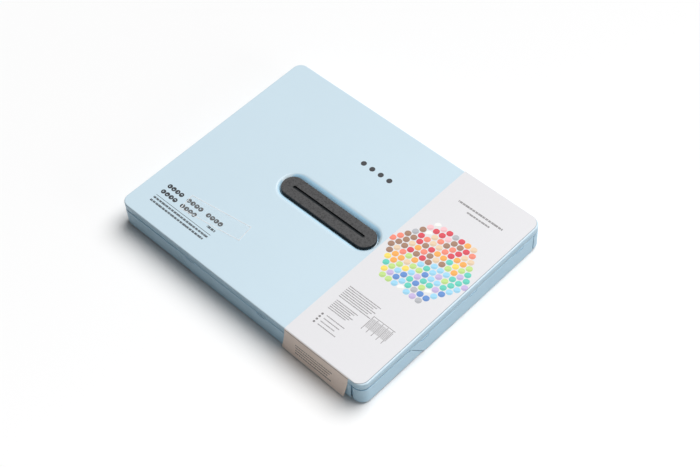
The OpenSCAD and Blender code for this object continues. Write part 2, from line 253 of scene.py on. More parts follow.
def moulded(name, colour, print_on=None, roughness=0.36):
    """Satin moulded plastic: a colour that drifts a little over the hand's width, a fine spark-
    eroded grain, and a sheen that is broken up where it has been handled."""
    finish = Finish(name, IOR=1.49)
    drift = finish.noise(110)
    darker = tuple(c * 0.965 for c in colour[:3]) + (1,)
    tone = drift.mix(darker, colour)
    if print_on:
        tone = print_on(finish, tone)
    rubbed = finish.noise(14, 4)
    return finish.wire(Base_Color=tone, Roughness=roughness + (rubbed - 0.5) * 0.10,
                       Normal=finish.grain(0.5, 0.006))


tray_plastic = moulded("tray_plastic", ice_blue)
half_w, half_d = box_w / 2 - guard_depth, box_d / 2 - guard_depth
groove_out = groove_inset + groove_w
tray_turns = [
    (groove_out + edge_loop, 0), (groove_out, 0), (groove_out, groove_depth),
    (groove_inset, groove_depth), (groove_inset, 0), (groove_inset - edge_loop, 0),
    (tray_foot_r + edge_loop, 0), *arc(tray_foot_r, tray_foot_r, tray_foot_r, -90, 0),
    (0, rim_z - rim_r - edge_loop), *arc(rim_r, rim_z - rim_r, rim_r, 0, 90),
    *arc(tray_wall - rim_r, rim_z - rim_r, -rim_r, -90, 0),
    (tray_wall, rim_z - rim_r - edge_loop), (tray_wall, fillet_end),
    *arc(tray_wall + fillet_r, tray_wall + fillet_r, fillet_r, 0, -90), (fillet_end, tray_wall),
]
piece("tray", [skin(offset_outlines(half_w, half_d, tray_r, tray_turns))], "base",
      tray_plastic, ["base_tray"])

# Corner guards. One on each corner of the tray, moulded with it and flush with the lid. Each
# runs from its corner to a slanted slit, and reaches a little way round on to the next side.
guard_z = (3.2, 26.3)
guard_wrap = 15
guard_root = 0.5
end_lean = 1.8
slit_run, slit_gap = 24, 1
barrel_z = 25.25
barrel_r = flap_t / 2
notch_play = 0.4
relief_z = barrel_z - barrel_r - notch_play
relief_bend = 0.2
guard_lens = (97.5, 77.5, 97.5, 77.5)
side_lens = (box_w, box_d, box_w, box_d)


def slit_x(side, z):
    """Where the slit's middle crosses a height, from the side's left end."""
    return guard_lens[side] + slit_run * (seam_z - z) / seam_z


def on_side(side, points):
    """Points drawn on a side as seen from outside, x to the right and y into the box, turned a
    quarter of a turn for each side after the front."""
    x = points[:, 0] - side_lens[side] / 2
    y = points[:, 1] - side_lens[side - 1] / 2
    for _ in range(side):
        x, y = -y, x
    return np.stack([x, y, points[:, 2]], 1)


def bar(rows):
    """Rows of a profile that goes up one side and down the other, joined along the bar, with
    quads across each end like the rungs of a ladder."""
    points, faces = skin(rows, False, False)
    count = len(rows[0])
    i = np.arange(count // 2 - 1)
    rungs = np.stack([i, i + 1, count - 2 - i, count - 1 - i], 1)
    return points, [*faces, rungs[:, ::-1], rungs + (len(rows) - 1) * count]


def guard(side):
    """A bar of one cross-section carried from the slit along the side, round the corner arc and
    back along the next side; each of its long edges ends where the slit crosses its height, and
    its inner edges stop short, so that its ends lean away from the gaps."""
    depth = guard_depth + guard_root
    low, high = guard_z
    insets = np.array([0, 0, 0, 0, depth, depth, depth, depth])
    bend_z = relief_z - relief_bend
    heights = np.array([low, bend_z, relief_z, high, high, relief_z, bend_z, low])
    slanted = slit_x(side, heights) - slit_gap / 2
    upright = guard_lens[side] - slit_gap / 2
    ends = np.where([True, True, False, False, False, False, True, True], slanted, upright)
    ends = ends - end_lean * (insets > 0)
    turn = np.radians(np.linspace(270, 180, 13))[:, None]
    bend = np.stack([corner_r + (corner_r - insets) * np.cos(turn),
                     corner_r + (corner_r - insets) * np.sin(turn), heights + 0 * turn], -1)
    tip = np.stack([ends, insets, heights], -1)
    heel = np.stack([insets, guard_wrap - end_lean * (insets > 0), heights], -1)
    points, faces = bar(np.concatenate([tip[None], bend, heel[None]]))
    return on_side(side, points), faces


piece("corner_guards", [guard(side) for side in range(4)], "base", tray_plastic,
      ["base_tray"], bevel=0.3)


# Rack. A lattice of thin polypropylene walls that drops into the tray and spaces the cups. It
# is milky, as thin unpainted mouldings are.
def refinish(node, material):
    """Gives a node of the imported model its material."""
    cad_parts[node].data.materials.clear()
    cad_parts[node].data.materials.append(material)


rack = Finish("rack_plastic", IOR=1.49, Subsurface_Weight=0.15, Subsurface_Scale=0.002)
rack_tone = rack.noise(60).mix((0.80, 0.84, 0.87, 1), (0.88, 0.91, 0.93, 1))
refinish("cup_rack", rack.wire(Base_Color=rack_tone, Roughness=0.45 + (rack.noise(8) - 0.5) * 0.1,
                               Normal=rack.grain(0.6, 0.01)))

# Cups. Vacuum-formed pots with a flange, in eight rows of fourteen, each filled to below the
# flange and closed with a clear film welded to it. The paint is hollowed a little where it set.
cup_cols, cup_rows = 14, 8
inner_w, inner_d = 2 * (half_w - tray_wall), 2 * (half_d - tray_wall)
rack_wall, cup_play = 1.2, 0.3
pitch_x = (inner_w - 2 * cup_play - rack_wall) / cup_cols
pitch_y = (inner_d - 2 * cup_play - rack_wall) / cup_rows
cup_w = pitch_x - rack_wall - 2 * cup_play
cup_d = pitch_y - rack_wall - 2 * cup_play
cup_foot, flange_z, cup_top, cup_wall, cup_r = 2.5, 16.5, 17.5, 0.8, 3
foot_edge, lip_edge = 0.4, 0.2
flange_play = 0.2
paint_low, paint_top, paint_play = 3.35, 14.3, 0.05
paint_hollow = ((0.7, 0.45), (2.6, 0.8))
film_t, film_margin, weld_w = 0.2, 0.2, 1.4
film_hollow = ((1.9, 0.08), (4, 0.12))
cup_steps = (3, 1, 1)
first_hue, hue_turn = 0.96, 0.92
first_earth = 12


def along_row(row, rings):
    """One cup's rings, repeated at each cell of a row."""
    y = ((cup_rows + 1) / 2 - row) * pitch_y
    places = [((col - (cup_cols - 1) / 2) * pitch_x, y, 0) for col in range(cup_cols)]
    return [skin(np.array(rings) + place) for place in places]


def gouache(col, row):
    """Colour of a cup: the hue goes once round the wheel along a row, and from row to row the
    paint turns from pale tints to full colour and then to shades; the last columns are earths."""
    hue = (first_hue + col / cup_cols * hue_turn) % 1
    earth = col >= first_earth
    strength = np.clip(0.20 + 0.16 * row, 0, 0.92) * np.where(earth, 0.45, 1)
    value = np.clip(1.0 - 0.075 * np.maximum(row - 4, 0) - 0.16 * earth, 0, 1)
    band = np.abs((hue * 6 + np.array([0, 4, 2])) % 6 - 3) - 1
    return value * (1 - strength * (1 - np.clip(band, 0, 1)))


cup_finish = Finish("cup_plastic", IOR=1.49, Subsurface_Weight=0.2, Subsurface_Scale=0.002)
cup_tone = cup_finish.noise(40).mix((0.86, 0.88, 0.90, 1), (0.93, 0.95, 0.96, 1))
cup_plastic = cup_finish.wire(Base_Color=cup_tone, Normal=cup_finish.grain(2, 0.03),
                              Roughness=0.22 + cup_finish.noise(5) * 0.12)
paint_finish = Finish("paint", IOR=1.45, Coat_Roughness=0.12)
paint_tone = paint_finish.node("Attribute", {"attribute_name": "gouache"}, {})
paint = paint_finish.wire(Base_Color=paint_tone, Roughness=0.30 + paint_finish.noise(6) * 0.15,
                          Normal=paint_finish.grain(7, 0.25, 3))
film_finish = Finish("film", IOR=1.5, Base_Color=(0.95, 0.97, 0.98, 1))
film = film_finish.wire(Roughness=0.10 + film_finish.noise(4) * 0.10,
                        Alpha=0.16 + film_finish.noise(9) * 0.06,
                        Normal=film_finish.grain(9, 0.2, 3))
flange_w, flange_d = pitch_x / 2 - flange_play, pitch_y / 2 - flange_play
flange_in = cup_w / 2 - flange_w
cup_turns = [(foot_edge, cup_foot), (0, cup_foot + foot_edge), (0, flange_z),
             (flange_in, flange_z), (flange_in, cup_top - lip_edge),
             (flange_in + lip_edge, cup_top), (cup_wall - lip_edge, cup_top),
             (cup_wall, cup_top - lip_edge), (cup_wall, cup_foot + cup_wall)]
paint_turns = [(cup_wall + paint_play, paint_low), (cup_wall + paint_play, paint_top)]
paint_turns += [(cup_wall + inset, paint_top - dip) for inset, dip in paint_hollow]
film_turns = [(lip_edge, cup_top), (0, cup_top), (0, cup_top + film_t), (weld_w, cup_top + film_t)]
film_turns += [(inset, cup_top + rise) for inset, rise in film_hollow]
film_half = (flange_w - film_margin, flange_d - film_margin)
for row in range(1, cup_rows + 1):
    rings = offset_outlines(cup_w / 2, cup_d / 2, cup_r, cup_turns, cup_steps)
    piece(f"cups_{row}", along_row(row, rings), "base", cup_plastic, [f"cup_row_{row}"])
    rings = offset_outlines(cup_w / 2, cup_d / 2, cup_r, paint_turns, cup_steps)
    fills = along_row(row, rings)
    colours = np.array([(*gouache(col, row), 1) for col in range(cup_cols)])
    piece(f"paints_{row}", fills, "base", paint, [f"paint_row_{row}"],
          values=("gouache", "FLOAT_COLOR", np.repeat(colours, len(fills[0][0]), axis=0)))
    rings = offset_outlines(*film_half, cup_r, film_turns, cup_steps)
    piece(f"films_{row}", along_row(row, rings), "base", film, [f"film_row_{row}"])

# Lid. A flat-topped polypropylene cover with a soft dish round the grip, bored for two posts.
# Its skirt ends just above the guards and the flaps and is stepped in along its lower edge,
# which draws a dark line round the box, thinner on the right end. Dark print lies on its top.
lid_wall = 2
seam_gap = 0.5
skirt_z = seam_z + seam_gap / 2
skirt_edge, step_edge, ceiling_r = 0.3, 0.15, 1
top_edge_r = 1.4
top_loop = top_edge_r + 0.5
shade_in, shade_z = 1.5, 28.5
tight_in, tight_z = 0.6, 27.7
dish_depth = 5.3
dish_out = (79.5, 24.2)
dish_floor = (74.6, 15.35)
dish_z = box_h - dish_depth
pan_ease_top, pan_ease_foot = (1.2, 2.4, 0.4), (0.4, 0.8, 0.8)
post_x, post_hole_r = 50, 4.08
rib_in, rib_t, rib_h = 2.5, 1, 2
lid_blue = (0.575, 0.715, 0.80, 1)
# The next two colours are painted light: a clear blue glow for the dish's back slope, and a paler blue
# that lifts the shade at its ends.
dish_glow_blue = (0.44, 0.73, 0.95, 1)
dish_end_light = (0.80, 0.93, 1.0, 1)
ink = (0.012, 0.014, 0.018, 1)
ink_blur = 0.15
round_turn = np.radians(np.arange(0, 360, 11.25))


def pill(half_len, half_width, z):
    return outline(half_len, half_width, half_width, z)


def between(first, last, shares):
    """Outlines part of the way from one outline to another."""
    return [first + (last - first) * share for share in shares]


def round_hole(centre, r):
    """Points round a hole."""
    return np.array(centre) + r * np.stack([np.cos(round_turn), np.sin(round_turn)], 1)


def plate(ring, holes, hole_r, z):
    """Flat triangles inside a convex outline, with round holes left open."""
    loops = [ring[:, :2]] + [round_hole(h, hole_r) for h in holes]
    points = [Vector(p) for p in np.concatenate(loops)]
    corners, _, faces, *_ = delaunay_2d_cdt(points, [], [], 0, 1e-6)
    corners = np.array([(*c, z) for c in corners])
    faces = np.array(faces)
    middles = corners[faces].mean(1)[:, :2]
    clear = np.all([np.hypot(*(middles - h).T) > hole_r * 0.99 for h in holes], 0)
    return corners, [faces[clear]]


def words(wire, x, y, left, right, base, height, pace):
    """A printed line seen as words: runs of ink between uneven gaps, broken up inside as small
    type is at arm's length, with nothing in it to read. Both are sums of two sine waves, whose
    lengths go with the pace."""
    runs = wire.math("SINE", x * (6.9 / pace) + base)
    runs += 0.8 * wire.math("SINE", x * (3.1 / pace) + base * 2.3)
    strokes = wire.math("SINE", x * (17.3 / pace))
    strokes += wire.math("SINE", x * (29 / pace) + y * (5 / height))
    ink_on = (runs > -1.15) * (strokes > -1.2)
    return ink_on * x.band(left, right, ink_blur) * y.band(base, base + height, ink_blur)


def pans(finish, x, y, count):
    """A row of printed mixing wells: rings with one half filled in, each turned a quarter turn
    against the last, with a space after every fourth."""
    pitch, reach, stroke = 6.8, 3.2, 1.9
    cell = finish.math("FLOOR", x / pitch)
    u, v = x - cell * pitch - pitch / 2, y - reach
    distance = finish.math("SQRT", u * u + v * v)
    quarter = cell * (math.pi / 2)
    half = u * finish.math("COSINE", quarter) + v * finish.math("SINE", quarter) > 0
    inked = finish.math("MINIMUM", distance.band(reach - stroke, reach, ink_blur) + half, 1)
    spaced = (cell % 5 < 3.5) * x.band(0, count * pitch, 0.1)
    return inked * distance.band(-1, reach, ink_blur) * spaced


def dots(finish, x, y, left, base, pitch, r, count):
    """A row of plain round dots."""
    across, up = (x - left) % pitch - pitch / 2, y - base
    far = finish.math("SQRT", across * across + up * up)
    return far.band(-1, r, 0.2) * x.band(left, left + count * pitch, 0.1)


def lid_print(finish, tone):
    """Two rows of mixing wells, a rule and fine lines at the front left, and four plain dots
    behind the grip, where such a lid carries its title, all measured from the lid's front left
    corner. Below the top the lid is painted the tray's deeper, bluer tone: painted shade that
    stands in for the look of its shaded sides. The slope of the dish behind the grip is painted a
    clear light blue and its ends a paler blue: painted light that lifts the shade in the dish."""
    x = finish.node("SeparateXYZ", {}, {0: finish.place}) * 1000 + box_w / 2
    y = finish.node("SeparateXYZ", {}, {0: finish.place}, 1) * 1000 + box_d / 2
    up = finish.node("SeparateXYZ", {}, {0: finish.place}, 2) * 1000
    left, right = 26, 121
    mask = x.band(left, right, ink_blur) * y.band(35.3, 35.8, ink_blur)
    for base, count in ((51.8, 14), (41, 9)):
        mask += pans(finish, x - left, y - base, count)
    lines = ((108, right, 41.5, 3), (left, right, 30, 2.6), (left, 118, 24.5, 2.6))
    for start, end, base, height in lines:
        mask += words(finish, x, y, start, end, base, height, 2.6)
    mask += dots(finish, x, y, 173, 236.5, 14, 3.6, 4)
    on_top = up > box_h - 0.5
    mask = finish.math("MINIMUM", mask * on_top, 1)
    middle_x, middle_y = box_w / 2, box_d / 2
    # Painted light on the dish's back slope behind the grip, paler towards its ends.
    dish_glow_mask = up.band(dish_z - 1, box_h - 1.2, 1) * x.band(middle_x - 80, middle_x + 80, 1)
    dish_glow_mask = dish_glow_mask * y.band(middle_y, middle_y + 25, 3)
    dish_glow_tone = x.band(middle_x - 70, middle_x + 70, 4).mix(dish_end_light, dish_glow_blue)
    # Painted shade: everything below the lid's top, the skirt above all, takes the deeper tray blue.
    side_wall_shade = up.band(-1, box_h - 1.6, 1.2)
    return mask.mix(dish_glow_mask.mix(side_wall_shade.mix(tone, ice_blue), dish_glow_tone), ink)


def skirt_rings(step_in, step_z):
    """The lid's wall from the ceiling inside, round its stepped lower edge, and up to the top."""
    turns = [(lid_wall + ceiling_r + edge_loop, box_h - lid_wall),
             *arc(lid_wall + ceiling_r, box_h - lid_wall - ceiling_r, ceiling_r, 90, 0),
             (lid_wall, skirt_z + edge_loop), (lid_wall, skirt_z + skirt_edge),
             (lid_wall - skirt_edge, skirt_z), (step_in, skirt_z), (step_in, step_z),
             (step_edge, step_z), (0, step_z + step_edge), (0, box_h - top_edge_r - edge_loop),
             *arc(top_edge_r, box_h - top_edge_r, top_edge_r, 0, 90, 8), (top_loop, box_h)]
    return np.array(offset_outlines(box_w / 2, box_d / 2, corner_r, turns))


lid_plastic = moulded("lid_plastic", lid_blue, lid_print, 0.34)
lid_under = box_h - lid_wall
pan_sizes = [(dish_out[0] + lid_wall, dish_out[1] + lid_wall, lid_under),
             (dish_floor[0] + lid_wall, dish_floor[1] + lid_wall, dish_z - lid_wall)]
pan_turns = [pan_sizes[1], np.add(pan_sizes[1], pan_ease_foot),
             np.subtract(pan_sizes[0], pan_ease_top), pan_sizes[0]]
under = [pill(*size) for size in pan_turns]
rib_turns = [(rib_in + rib_t, lid_under), (rib_in + rib_t, lid_under - rib_h),
             (rib_in, lid_under - rib_h), (rib_in, lid_under)]
rib = offset_outlines(half_w, half_d, tray_r, rib_turns)
under += between(under[-1], rib[0], (0.02, 0.5, 0.98)) + rib
skirt, tight_skirt = skirt_rings(shade_in, shade_z), skirt_rings(tight_in, tight_z)
near_end = skirt[..., 0] > box_w / 2 - 5
on_end = near_end & (np.abs(skirt[..., 1]) < box_d / 2 - corner_r - 1)
skirt = list(np.where(on_end[..., None], tight_skirt, skirt))
shares = np.linspace(1, 0, 16)
sizes = np.array(dish_floor) + np.subtract(dish_out, dish_floor) * shares[:, None]
dish = [pill(*size, box_h - dish_depth * (1 - t) ** 2) for size, t in zip(sizes, shares)]
top = between(skirt[-1], dish[0], (0.1, 0.3, 0.5, 0.7, 0.9, 0.97))
posts = [(-post_x, 0), (post_x, 0)]
bores = [skin([np.column_stack([round_hole(post, post_hole_r), np.full(len(round_turn), z)])
               for z in (dish_z, dish_z - lid_wall)], False, False) for post in posts]
piece("lid", [skin(under + skirt + top + dish, False, False), *bores,
              plate(under[0], posts, post_hole_r, dish_z - lid_wall),
              plate(dish[-1], posts, post_hole_r, dish_z)],
      "lid", lid_plastic, ["lid_shell"], crease=50)

# Knuckles. Three under each side of the skirt, moulded with the lid and bored for the hinge
# pin. Each has the flap's rounded top edge and is stepped in above it, which carries the dark
# line under the skirt on.
knuckle_w, knuckle_inset, end_gap = 12, 24, 2
knuckle_root = shade_z + 0.2
axis_y = flap_t / 2
barrel_top = barrel_z + barrel_r
shoulder_r = 0.8


def knuckle_places(side):
    first = guard_lens[side] + slit_gap / 2 + knuckle_inset
    last = side_lens[side] - guard_wrap - end_gap - knuckle_inset
    return np.linspace(first, last, 3)


def knuckle(side, x):
    """A block with a round foot: its profile in y and z, carried along the side."""
    turn = np.radians(np.linspace(360, 180, 8))
    foot = np.stack([axis_y + barrel_r * np.cos(turn), barrel_z + barrel_r * np.sin(turn)], 1)
    lip = np.array(arc(shoulder_r, barrel_top - shoulder_r, shoulder_r, 0, 90))
    head = [(shade_in, barrel_top), (shade_in, knuckle_root), (flap_t, knuckle_root)]
    profile = np.concatenate([foot, lip, head])
    rows = [np.column_stack([np.full(len(profile), x + s * knuckle_w / 2), profile]) for s in (-1, 1)]
    points, faces = skin(rows)
    return on_side(side, points), faces


piece("lid_knuckles", [knuckle(side, x) for side in range(4) for x in knuckle_places(side)], "lid",
      lid_plastic, ["lid_shell"], bevel=0.15)

# Seal. A square cord of clear silicone, pressed round the rib inside the lid, a little cloudy
# and soft to the light.
seal = Finish("silicone", IOR=1.41, Subsurface_Weight=0.3, Subsurface_Scale=0.003)
seal_tone = seal.noise(25).mix((0.82, 0.85, 0.87, 1), (0.90, 0.93, 0.95, 1))
refinish("lid_seal", seal.wire(Base_Color=seal_tone, Roughness=0.42 + (seal.noise(3) - 0.5) * 0.1,
                               Normal=seal.grain(0.8, 0.02)))

# Latch flaps. One to a side: a plate hinged under the skirt on a full-length barrel, notched
# for the knuckles, with one slanted end along the slit and one square end at the next guard,
# a little askew. The right end's flap sits close to its guard.
flap_foot = 1
square_slant, square_lean = 1.2, 2.6
square_gaps = (2.2, 0.5, 2.2, 2.2)
flap_names = ("front", "right", "back", "left")


def flap(side):
    """Its outline seen from outside, with the slanted end, three notches and the square end, set
    at steps through its thickness. The top edge follows a small arc outside and the barrel's
    own circle inside, and the two ends lean away from the gaps as the guards' do."""
    left, right = guard_lens[side] + slit_gap / 2, side_lens[side] - guard_wrap - square_gaps[side]
    notch_half = knuckle_w / 2 + notch_play
    notches = (knuckle_places(side)[:, None] + notch_half * np.array([-1, -1, 1, 1])).ravel()
    under = barrel_z - barrel_r
    slant = slit_x(side, np.array([flap_foot, under])) + slit_gap / 2
    x = np.concatenate([slant, [left, left], notches, [right, right - square_slant]])
    lean = np.array([end_lean, end_lean, 1, 1] + [0] * 12 + [-1, -square_lean])
    fixed = np.array([flap_foot, under, under, 0] + [0, relief_z, relief_z, 0] * 3 + [0, flap_foot])
    turn = np.radians(np.linspace(180, 0, 9))
    radius = np.where(turn > math.pi / 2, shoulder_r, barrel_r)
    y = (radius + radius * np.cos(turn))[:, None]
    edge_z = (barrel_top - radius + radius * np.sin(turn))[:, None]
    rows = np.stack([x + lean * y / flap_t, y + 0 * x, np.where(fixed > 0, fixed, edge_z)], -1)
    points, faces = skin(rows)
    return on_side(side, points), faces


latch_plastic = moulded("latch_plastic", ice_blue)
for side, where in enumerate(flap_names):
    piece(f"flap_{where}", [flap(side)], f"{where}_latch", latch_plastic,
          [f"latch_{where}"], bevel=0.3)


# Metal. Drawn steel wire for the hinge pins, and turned steel for the posts, washers and
# screws under the grip, all with the fine rings or lines that the tool leaves.
def steel(name, roughness, line):
    """Bright steel with tool lines of a given width in millimetres."""
    finish = Finish(name, Metallic=1.0)
    lines = finish.noise(line, 3, Roughness=0.7)
    tone = finish.noise(6).mix((0.56, 0.57, 0.59, 1), (0.70, 0.71, 0.73, 1))
    return finish.wire(Base_Color=tone, Roughness=roughness + lines * 0.15,
                       Normal=finish.grain(line, 0.004))


wire_steel = steel("pin_steel", 0.25, 0.4)
turned_steel = steel("turned_steel", 0.2, 0.25)
for where in flap_names:
    refinish(f"hinge_pin_{where}", wire_steel)
for node in ("grip_posts", "grip_washers", "grip_screws"):
    refinish(node, turned_steel)

# Grip. A black pill of filled nylon with a long narrow slot along its middle. It stands on two
# posts in the dish, its top just proud of the lid, and pulls up to be held.
grip_half, grip_r = 74, 14.75
grip_low, grip_high = 33.1, 38.6
grip_foot_r, grip_edge_r, grip_loop = 0.5, 0.8, 0.4
slot_half, slot_r, slot_deep = 58.5, 1.95, 2.4
slot_edge_r, slot_loop, slot_lip = 0.15, 0.4, 0.5


def pill_turns(half_len, half_width, turns):
    return [pill(half_len - i, half_width - i, z) for i, z in turns]


grip_finish = Finish("grip_plastic", Specular_IOR_Level=0.22)
speck = grip_finish.noise(1.8, 3).band(0.56, 2, 0.25)
grip_up = grip_finish.node("SeparateXYZ", {}, {0: grip_finish.place}, 2) * 1000
grip_tone = speck.mix((0.026, 0.026, 0.027, 1), (0.068, 0.068, 0.070, 1))
# Painted shade: below its top edge the grip loses its speckle and turns a darker, bluish black,
# standing in for the shade on its sides.
grip_side_shade = grip_up.band(0, grip_high - grip_edge_r, 0.4)
grip_tone = grip_side_shade.mix(grip_tone, (0.008, 0.011, 0.014, 1))
grip_rough = 0.50 + (grip_finish.noise(5, 3) - 0.5) * 0.15
grip_plastic = grip_finish.wire(Base_Color=grip_tone, Roughness=grip_rough,
                                Normal=grip_finish.grain(0.45, 0.03, 3))
grip_turns = [(grip_foot_r + grip_loop, grip_low),
              *arc(grip_foot_r, grip_low + grip_foot_r, grip_foot_r, -90, 0, 3),
              (0, grip_high - grip_edge_r - grip_loop),
              *arc(grip_edge_r, grip_high - grip_edge_r, grip_edge_r, 0, 90),
              (grip_edge_r + grip_loop, grip_high)]
slot_turns = [(-slot_loop, grip_high),
              *arc(-slot_edge_r, grip_high - slot_edge_r, -slot_edge_r, -90, 0, 3),
              (0, grip_high - slot_lip), (0, grip_high - slot_deep)]
grip_rings = pill_turns(grip_half, grip_r, grip_turns)
slot_rings = pill_turns(slot_half, slot_r, slot_turns)
grip_top = between(grip_rings[-1], slot_rings[0], (0.33, 0.67))
piece("grip_body", [skin(grip_rings + grip_top + slot_rings)], "carry_grip",
      grip_plastic, ["grip"])

# Card label. One die-cut sheet of white coated board: it lies over the right end of the lid and
# folds down over the front, where its flap hangs a little off the latch and a little askew.
# Printed in one pass, with the flap in buff.
card_t = 0.5
card_left, card_right, card_r = 280.5, 398, 13
card_lift, card_gap = 0.02, 0.05
fold_left, fold_right = 281, 379.5
fold_skew = 5.4
fold_r = 1.2
card_foot = 0.9
flare_left, flare_right = 2.6, 4.4
cut_mark = 10
card_white = (0.75, 0.745, 0.765, 1)
card_buff = (0.98, 0.83, 0.73, 1)
# Painted shade: a darker line just below the card's fold.
fold_shade = (0.50, 0.44, 0.39, 1)
# Painted shade: a grey line along the right cut of the card's top.
card_edge_shade = (0.32, 0.36, 0.39, 1)


def sheet(under, over):
    """A thin closed solid between two grids of the same points, its rim joined by quads."""
    rows, cols = over.shape[:2]
    index = np.arange(rows * cols).reshape(rows, cols)
    face = np.stack([index[:-1, :-1], index[:-1, 1:], index[1:, 1:], index[1:, :-1]], -1).reshape(-1, 4)
    edge = np.concatenate([index[0, :-1], index[:-1, -1], index[-1, :0:-1], index[:0:-1, 0]])
    after = np.roll(edge, -1)
    rim = np.stack([edge, after, after + rows * cols, edge + rows * cols], 1)
    points = np.concatenate([over.reshape(-1, 3), under.reshape(-1, 3)])
    return points, [face, face[:, ::-1] + rows * cols, rim]


def card_path():
    """The card's underside from the back of the lid to the flap's foot: y, z, and the direction
    that points out of the card."""
    round_in = card_r * (1 - np.sin(np.radians(np.linspace(0, 90, 13))))
    straight = np.linspace(box_d / 2 - card_r, card_r - box_d / 2, 30)[1:-1]
    flat_y = np.concatenate([box_d / 2 - round_in[::-1], straight, round_in - box_d / 2])
    flat_y = flat_y[flat_y > -box_d / 2 + fold_r + 0.1]
    flat_z = box_h + card_lift
    turn = np.radians(np.linspace(90, 180, 7))
    mid_y, mid_z = -box_d / 2 - card_gap + fold_r, flat_z - fold_r
    down = mid_z - (mid_z - card_foot) * np.linspace(0, 1, 40)[1:] ** 1.1
    y = np.concatenate([flat_y, mid_y + fold_r * np.cos(turn), np.full(len(down), mid_y - fold_r)])
    z = np.concatenate([np.full(len(flat_y), flat_z), mid_z + fold_r * np.sin(turn), down])
    out = np.concatenate([np.full(len(flat_y), np.pi / 2), turn, np.full(len(down), np.pi)])
    return y, z, out


def card_shape():
    """Rows across the card at each step of its path. A row's two ends follow the cut: round at
    the two right corners, stepped in where the flap begins, and slanted to the left down the
    flap. The flap leans out towards its foot, more at its right, ever faster below the hinge.
    With each point goes its place on the flat card and its distance from the right edge of the
    lid's part, or from the left edge of the flap plus cut_mark."""
    y, z, out = card_path()
    corner = np.clip(np.abs(y) - (box_d / 2 - card_r), 0, card_r)
    right = card_right - card_r + np.sqrt(card_r**2 - corner**2)
    on_flap = z < box_h - 0.2
    skew = fold_skew * (box_h - z) / (box_h - card_foot)
    left = np.where(on_flap, fold_left - skew, card_left)
    right = np.where(on_flap, fold_right - skew, right)
    share = np.linspace(0, 1, 24)
    x = left[:, None] + (right - left)[:, None] * share - box_w / 2
    drop = np.clip((seam_z - z) / (seam_z - card_foot), 0, 1)[:, None]
    lean = (flare_left + (flare_right - flare_left) * share) * drop**1.6
    under = np.stack([x, y[:, None] - lean, z[:, None] + 0 * x], -1)
    thick = card_t * np.stack([0 * out, np.cos(out), np.sin(out)], -1)[:, None]
    flat_y = np.where(on_flap, z - box_h, y + box_d / 2)[:, None] + 0 * x
    to_edge = np.where(on_flap[:, None], cut_mark + x - x[:, :1], x[:, -1:] - x)
    flat = np.stack([x + box_w / 2, flat_y, to_edge], -1).reshape(-1, 3)
    return sheet(under, under + thick), np.concatenate([flat, flat])


card_faces, card_flat = card_shape()
chart_paints = [(0.88, 0.88, 0.86, 1), (0.93, 0.55, 0.58, 1), (0.92, 0.26, 0.18, 1),
                (0.70, 0.06, 0.09, 1), (0.36, 0.20, 0.13, 1), (0.82, 0.62, 0.42, 1),
                (0.95, 0.42, 0.09, 1), (0.96, 0.73, 0.14, 1), (0.52, 0.74, 0.24, 1),
                (0.12, 0.62, 0.50, 1), (0.34, 0.68, 0.88, 1), (0.12, 0.27, 0.62, 1),
                (0.56, 0.46, 0.74, 1), (0.46, 0.47, 0.50, 1)]


def swatches(finish, x, y, tone):
    """A printed colour chart: round swatches in a honeycomb, cut to a hexagon. The place in the
    row of paints drifts across the chart and each swatch strays from it; the side of each away
    from the light is a shade darker."""
    middle_x, middle_y, reach, pitch, r = 339, 176, 50, 9.2, 4.1
    step_y = pitch * math.sqrt(0.75)
    rows = (y - middle_y) / step_y
    row = finish.math("ROUND", rows)
    shift = finish.math("FLOORED_MODULO", row, 2) * 0.5
    cols = (x - middle_x) / pitch - shift
    col = finish.math("ROUND", cols)
    dx, dy = (cols - col) * pitch, (rows - row) * step_y
    far = finish.math("SQRT", dx * dx + dy * dy)
    cx, cy = (col + shift) * pitch, row * step_y
    ax, ay = finish.math("ABSOLUTE", cx), finish.math("ABSOLUTE", cy)
    inside = (finish.math("MAXIMUM", ay, ax * math.sqrt(0.75) + ay * 0.5) < reach)
    scatter = finish.math("SINE", col * 12.99 + row * 78.23) * 43.76
    stray = scatter - finish.math("FLOOR", scatter)
    colour = ((0.30 + cx * 0.005 - cy * 0.007 + stray * 0.42) % 1).ramp(chart_paints)
    away = 1 - (dx * 0.6 - dy).band(-9, 0.8, 0.2)
    return (far.band(-1, r, 0.12) * inside).mix(tone, (away * 0.15).mix(colour, ink))


def scale_ticks(x, y, left, right, base):
    """A bare measuring scale: a rule with fine ticks hanging from it, each fifth one longer."""
    fine = ((x - left) % 1.5).band(0.5, 0.95, 0.1) * y.band(base - 16.5, base - 2.5, 0.1)
    fifth = ((x - left) % 7.5).band(0.4, 1.05, 0.1) * y.band(base - 21.5, base - 0.5, 0.1)
    along = x.band(left, right, 0.1)
    return (fine + fifth) * along + along * y.band(base, base + 0.6, 0.1)


def card_print(finish, x, y, tone):
    """The print: a grey title, the colour chart, blocks of fine grey lines, a measuring scale,
    four dots with a line each, and four fine lines on the flap."""
    blocks = ((305, 372, 267, 269.6, 1, 2.6, 2.4), (324, 358, 260, 262.2, 1, 2.2, 2.2),
              (295, 343, 73, 92, 7, 1.1, 1.2), (297, 330, 53, 68, 6, 1.1, 1.2),
              (304, 331, 29, 45, 4, 1.1, 1.2), (297, 354, -30, -15, 4, 1.8, 1.7))
    mask = scale_ticks(x, y, 344, 377, 78.5)
    for left, right, low, high, count, height, pace in blocks:
        for i, base in enumerate(np.linspace(high - height, low, count)):
            mask += words(finish, x, y, left, right - 3 * (i % 3), float(base), height, pace)
    dot_x, dot_low, dot_high, dot_pitch = 298.5, 27, 45.4, 4.6
    rise = (y - dot_low) % dot_pitch - dot_pitch / 2
    far = finish.math("SQRT", (x - dot_x) * (x - dot_x) + rise * rise)
    mask += far.band(-1, 1.4, ink_blur) * y.band(dot_low, dot_high, 0.1)
    mask = finish.math("MINIMUM", mask, 1) * 0.85
    return mask.mix(swatches(finish, x, y, tone), (0.10, 0.09, 0.09, 1))


